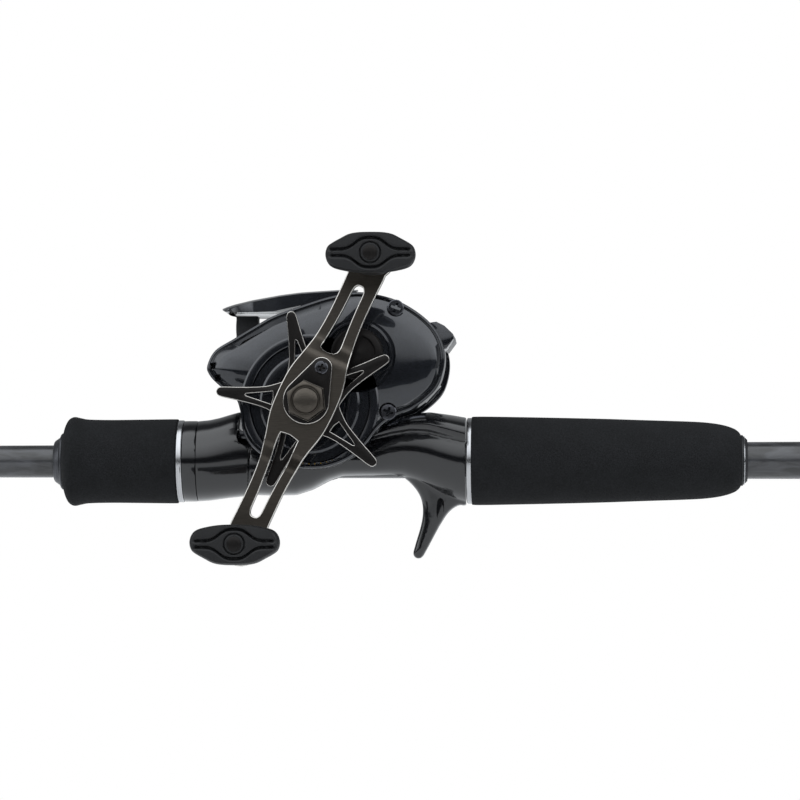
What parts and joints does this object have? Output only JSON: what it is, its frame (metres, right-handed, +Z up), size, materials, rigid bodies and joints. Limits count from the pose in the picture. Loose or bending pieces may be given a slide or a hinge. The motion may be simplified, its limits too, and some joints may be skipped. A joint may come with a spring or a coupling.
{
  "type": "casting rod with baitcasting reel",
  "caption": "One-piece trigger-grip casting rod with a low-profile baitcasting reel, star drag, double-knob handle, level wind, thumb-bar clutch and foam grips.",
  "frame": {"origin": "centre of the butt end face, on the rod's axis", "axes": "+X along the rod's axis out of the butt (the tip lies towards -X), +Z up towards the reel, -Y towards the crank handle"},
  "size_m": [1.98, 0.0926, 0.0958],
  "materials": {
    "carbon_blank": "clear-coated woven carbon tube",
    "eva_foam": "sanded closed-cell foam",
    "rubber_black": "moulded soft rubber",
    "seat_graphite": "polished moulded graphite nylon",
    "silver_trim": "polished aluminium",
    "nut_nylon": "moulded threaded nylon",
    "guide_frame": "black plated stainless wire",
    "guide_ceramic": "polished ceramic ring",
    "thread_wrap": "thread wrapping under epoxy",
    "reel_body": "gloss graphite-black lacquer on cast aluminium",
    "steel": "turned stainless steel",
    "brass": "cut brass",
    "carbon_washer": "woven carbon drag washers",
    "acetal": "moulded acetal",
    "handle_anodised": "gunmetal anodised aluminium with machined edges",
    "knob_rubber": "matt soft-touch rubber",
    "spool_anodised": "anodised machined aluminium",
    "copper_rotor": "copper-plated brake rotor",
    "magnet_nickel": "nickel-plated magnets"
  },
  "bodies": {
    "rod": {"blank": "carbon_blank", "butt_cap": "rubber_black", "butt_grip": "eva_foam", "rear_check": "rubber_black", "rear_grip": "eva_foam", "rear_trim_ring": "silver_trim", "reel_seat": "seat_graphite", "guide_frames": "guide_frame", "guide_rings": "guide_ceramic", "guide_wraps": "thread_wrap", "tip_top": "guide_frame", "reel_frame": "reel_body", "top_cover": "reel_body", "gear_side_plate": "reel_body", "side_plate_screws": "steel", "palm_plate": "reel_body", "main_shaft_bearing": "steel", "one_way_bearing": "steel", "spool_bearings": "steel", "ratchet_pawl": "steel", "yoke_posts": "steel", "worm_bushes": "brass", "level_wind_rail": "steel"},
    "hood": {"seat_hood": "seat_graphite"},
    "locking_nut": {"lock_nut": "nut_nylon", "lock_collar": "seat_graphite", "front_trim_ring": "silver_trim", "front_grip": "eva_foam", "front_check": "silver_trim"},
    "crank": {"crank_shaft": "steel", "main_gear": "brass", "drag_washers": "carbon_washer", "level_wind_drive_gear": "acetal", "ratchet_wheel": "steel", "handle": "handle_anodised", "handle_nut": "handle_anodised", "nut_retainer": "handle_anodised", "retainer_screw": "steel", "knob_spindles": "steel"},
    "star": {"star_drag": "handle_anodised"},
    "top_knob": {"knob_1": "knob_rubber", "knob_cap_1": "handle_anodised"},
    "bottom_knob": {"knob_2": "knob_rubber", "knob_cap_2": "handle_anodised"},
    "spool": {"spool": "spool_anodised", "spool_shaft": "steel", "brake_rotor": "copper_rotor"},
    "yoke": {"clutch_yoke": "steel"},
    "pinion": {"pinion_gear": "brass"},
    "thumb_bar": {"thumb_bar": "reel_body"},
    "cast_cap": {"cast_control_cap": "handle_anodised"},
    "dial": {"brake_dial": "nut_nylon"},
    "magnets": {"magnet_holder": "acetal", "brake_magnets": "magnet_nickel"},
    "idler": {"idler_gear": "acetal"},
    "worm": {"worm_shaft": "brass", "worm_gear": "acetal"},
    "guide": {"line_guide": "nut_nylon", "line_guide_insert": "guide_ceramic", "line_guide_pawl": "steel"}
  },
  "joints": [
    {"name": "lock_nut_turn", "type": "hinge", "parent": "hood", "child": "locking_nut", "pos_m": [-0.338, 0, 0], "axis": [1, 0, 0], "range_deg": [0, 1728]},
    {"name": "hood_slide", "type": "slide", "parent": "rod", "child": "hood", "axis": [-1, 0, 0], "range_m": [0, 0.012]},
    {"name": "crank_spin", "type": "hinge", "parent": "rod", "child": "crank", "pos_m": [-0.288, -0.04, 0.016], "axis": [0, -1, 0], "continuous": true},
    {"name": "star_turn", "type": "hinge", "parent": "crank", "child": "star", "pos_m": [-0.288, -0.037, 0.016], "axis": [0, -1, 0], "range_deg": [-180, 540]},
    {"name": "top_knob_spin", "type": "hinge", "parent": "crank", "child": "top_knob", "pos_m": [-0.26856, -0.055, 0.05769], "axis": [0, -1, 0], "continuous": true},
    {"name": "bottom_knob_spin", "type": "hinge", "parent": "crank", "child": "bottom_knob", "pos_m": [-0.30744, -0.055, -0.02569], "axis": [0, -1, 0], "continuous": true},
    {"name": "spool_spin", "type": "hinge", "parent": "rod", "child": "spool", "pos_m": [-0.27393, 0, 0.0303], "axis": [0, -1, 0], "continuous": true},
    {"name": "thumb_bar_press", "type": "slide", "parent": "rod", "child": "thumb_bar", "axis": [0.1701, 0, -0.9854], "range_m": [0, 0.003], "stiffness_N_per_m": 400, "springref_m": -0.003},
    {"name": "yoke_slide", "type": "slide", "parent": "rod", "child": "yoke", "axis": [0, -1, 0], "range_m": [0, 0.0014]},
    {"name": "pinion_spin", "type": "hinge", "parent": "yoke", "child": "pinion", "pos_m": [-0.27393, -0.02, 0.0303], "axis": [0, -1, 0], "continuous": true},
    {"name": "cast_cap_turn", "type": "hinge", "parent": "rod", "child": "cast_cap", "pos_m": [-0.27393, -0.032, 0.0303], "axis": [0, -1, 0], "range_deg": [-360, 360]},
    {"name": "brake_dial_turn", "type": "hinge", "parent": "rod", "child": "dial", "pos_m": [-0.27393, 0.027, 0.0303], "axis": [0, 1, 0], "range_deg": [0, 270]},
    {"name": "magnet_slide", "type": "slide", "parent": "rod", "child": "magnets", "axis": [0, 1, 0], "range_m": [0, 0.002]},
    {"name": "idler_spin", "type": "hinge", "parent": "rod", "child": "idler", "pos_m": [-0.29915, -0.018, 0.02604], "axis": [0, -1, 0], "continuous": true},
    {"name": "worm_spin", "type": "hinge", "parent": "rod", "child": "worm", "pos_m": [-0.30643, 0, 0.03042], "axis": [0, -1, 0], "continuous": true},
    {"name": "line_guide_slide", "type": "slide", "parent": "rod", "child": "guide", "axis": [0, 1, 0], "range_m": [-0.0085, 0.0085]}
  ],
  "couplings": [
    {"joint": "hood_slide", "follows": "lock_nut_turn", "m_per_rad": 0.00039789},
    {"joint": "spool_spin", "follows": "crank_spin", "ratio": -6.3},
    {"joint": "pinion_spin", "follows": "crank_spin", "ratio": -6.3},
    {"joint": "idler_spin", "follows": "crank_spin", "ratio": -3.2857},
    {"joint": "worm_spin", "follows": "crank_spin", "ratio": 2.3},
    {"joint": "yoke_slide", "follows": "thumb_bar_press", "ratio": 0.46667},
    {"joint": "brake_dial_turn", "follows": "magnet_slide", "rad_per_m": 2356.2}
  ]
}
